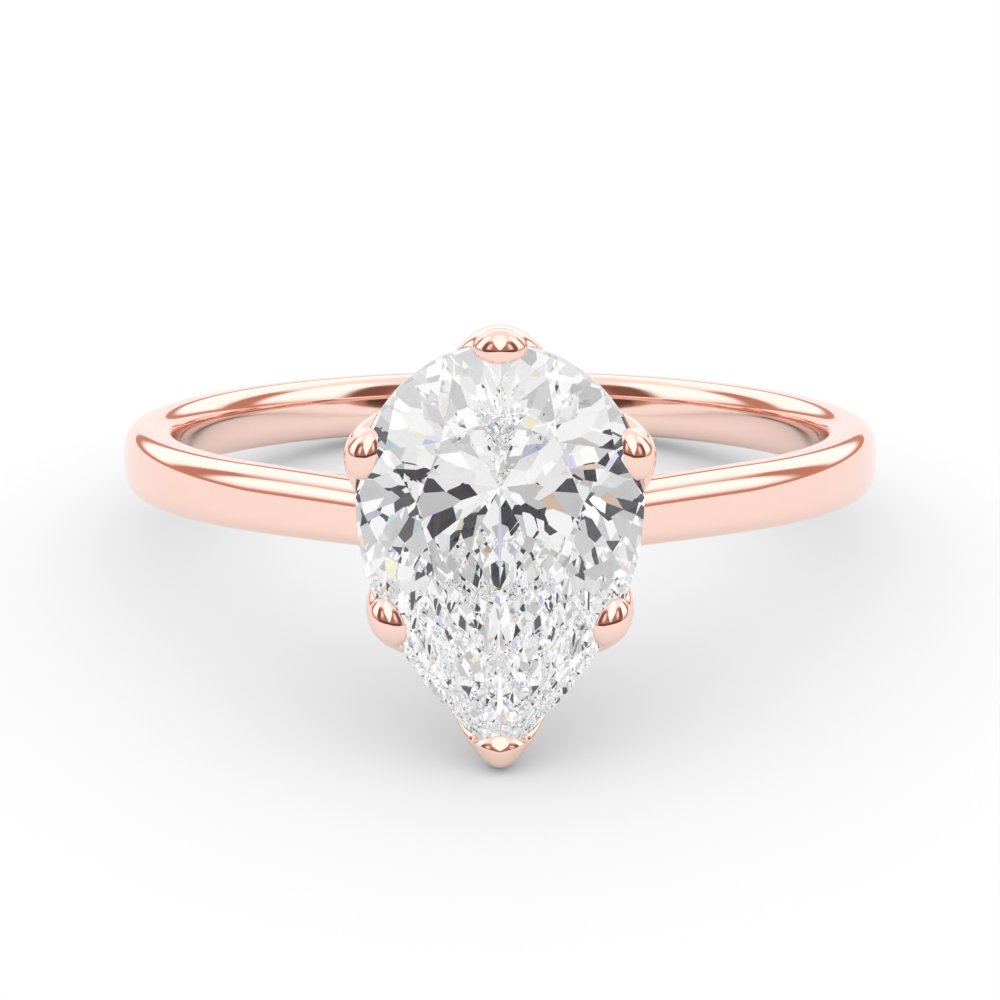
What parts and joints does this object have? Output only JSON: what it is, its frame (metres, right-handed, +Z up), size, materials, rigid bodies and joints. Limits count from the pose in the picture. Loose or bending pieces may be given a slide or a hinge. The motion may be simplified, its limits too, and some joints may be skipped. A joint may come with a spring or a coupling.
{
  "type": "engagement ring",
  "caption": "Solitaire finger ring lying on its side: slim rounded band rising to a petal-prong head that holds a pear-cut stone, point down.",
  "frame": {"origin": "on the resting surface, under the middle of the ring's box", "axes": "+Z up from the resting surface, +X across the ring, the stone faces -Y and the back of the band is at +Y"},
  "size_m": [0.019, 0.0228, 0.0101],
  "materials": {
    "rose_gold": "polished rose gold",
    "diamond": "polished facets"
  },
  "bodies": {
    "root": {"shank": "rose_gold", "under_bridge": "rose_gold", "head_base": "rose_gold", "prong_top": "rose_gold", "prong_upper_left": "rose_gold", "prong_upper_right": "rose_gold", "prong_lower_left": "rose_gold", "prong_lower_right": "rose_gold", "prong_point": "rose_gold", "stone": "diamond"}
  },
  "joints": []
}
